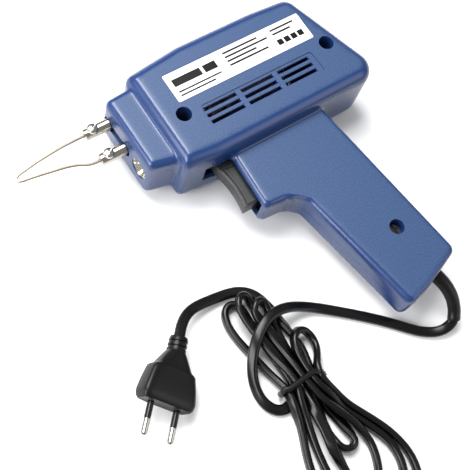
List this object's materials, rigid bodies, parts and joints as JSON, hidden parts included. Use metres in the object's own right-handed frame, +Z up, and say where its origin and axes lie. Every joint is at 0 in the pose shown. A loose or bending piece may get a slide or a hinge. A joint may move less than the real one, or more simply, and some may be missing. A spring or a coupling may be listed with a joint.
{
  "type": "pistol soldering gun",
  "caption": "Pistol-shaped transformer soldering gun with a trigger, twin conductor tubes, hairpin wire tip, work lamp and a flat mains lead tied in a hank, ending in a flat two-pin plug.",
  "frame": {"origin": "centre of the gun's footprint, on the surface it lies on, the lead not counted", "axes": "+Z up, out of the gun's left side; +X from the tip towards the rear of the body; -Y from the body down the grip"},
  "size_m": [0.2423, 0.305, 0.048],
  "materials": {
    "housing_blue": "satin blue ABS, fine spark-eroded grain on the flat faces, glossier at the rounded edges",
    "label_white": null,
    "screw_steel": "dark zinc plated steel",
    "trigger_grey": "dark grey moulded nylon, grained flank panel",
    "moulded_black": "black moulded phenolic, satin",
    "moulded_pale": "pale nylon, matt",
    "contact_brass": "plain brass",
    "core_steel": "stacked transformer laminations, oiled",
    "coil_tape": "varnished copper winding under amber tape",
    "tinned_copper": "bright tinned copper, lightly drawn along its length",
    "plated_steel": "bright nickel plated",
    "tip_wire": "tinned soldering wire, slightly dull",
    "reflector_bright": "bright reflector",
    "lamp_clear": "clear bulb glass",
    "wire_red": "red insulated wire",
    "wire_brown": "brown insulated wire",
    "wire_blue": "blue insulated wire",
    "cord_black": "black PVC, satin"
  },
  "bodies": {
    "housing": {"housing_left": "housing_blue", "housing_right": "housing_blue", "rating_label": "label_white", "housing_screw_front": "screw_steel", "housing_screw_rear": "screw_steel", "housing_screw_grip": "screw_steel", "trigger_pin": "screw_steel", "trigger_spring": "screw_steel", "switch_body": "moulded_black", "switch_tabs": "contact_brass", "core_laminations": "core_steel", "bobbin_left": "moulded_pale", "bobbin_right": "moulded_pale", "primary_coil_left": "coil_tape", "primary_coil_right": "coil_tape", "conductor_upper": "tinned_copper", "conductor_lower": "tinned_copper", "conductor_bridge": "tinned_copper", "nose_insulator": "moulded_black", "lamp_reflector": "reflector_bright", "lamp_glass": "lamp_clear", "lamp_base": "contact_brass", "lamp_holder": "moulded_black", "lamp_lead_upper": "wire_red", "lamp_lead_lower": "wire_red", "mains_wire_brown": "wire_brown", "mains_wire_blue": "wire_blue", "coil_wire": "wire_brown", "cord_clamp": "moulded_black", "clamp_bar_screw_front": "screw_steel", "clamp_bar_screw_rear": "screw_steel", "cord_boot": "cord_black", "cord_lead": "cord_black", "cord_hank": "cord_black", "cord_tie": "cord_black", "cord_plug_lead": "cord_black", "plug_body": "cord_black", "plug_pin_left": "plated_steel", "plug_pin_right": "plated_steel", "pin_sleeve_left": "cord_black", "pin_sleeve_right": "cord_black"},
    "trigger": {"trigger": "trigger_grey"},
    "switch_plunger": {"switch_plunger": "moulded_pale"},
    "clamp_screw_upper": {"clamp_screw_upper": "plated_steel"},
    "clamp_screw_lower": {"clamp_screw_lower": "plated_steel"},
    "solder_tip": {"solder_tip": "tip_wire"}
  },
  "joints": [
    {"name": "trigger_pull", "type": "hinge", "parent": "housing", "child": "trigger", "pos_m": [-0.0025, 0.0375, 0.024], "axis": [0, 0, 1], "range_deg": [0, 8], "stiffness_Nm_per_rad": 0.4, "springref_deg": -17.19},
    {"name": "plunger_slide", "type": "slide", "parent": "housing", "child": "switch_plunger", "axis": [1, 0, 0], "range_m": [0, 0.0037]},
    {"name": "clamp_screw_upper_turn", "type": "hinge", "parent": "housing", "child": "clamp_screw_upper", "pos_m": [-0.059, 0.085, 0.027], "axis": [0, 0, 1], "continuous": true},
    {"name": "clamp_screw_lower_turn", "type": "hinge", "parent": "housing", "child": "clamp_screw_lower", "pos_m": [-0.059, 0.0665, 0.027], "axis": [0, 0, 1], "continuous": true},
    {"name": "tip_slide", "type": "slide", "parent": "housing", "child": "solder_tip", "axis": [-1, 0, 0], "range_m": [0, 0.012]}
  ],
  "couplings": [
    {"joint": "plunger_slide", "follows": "trigger_pull", "m_per_rad": 0.026}
  ]
}
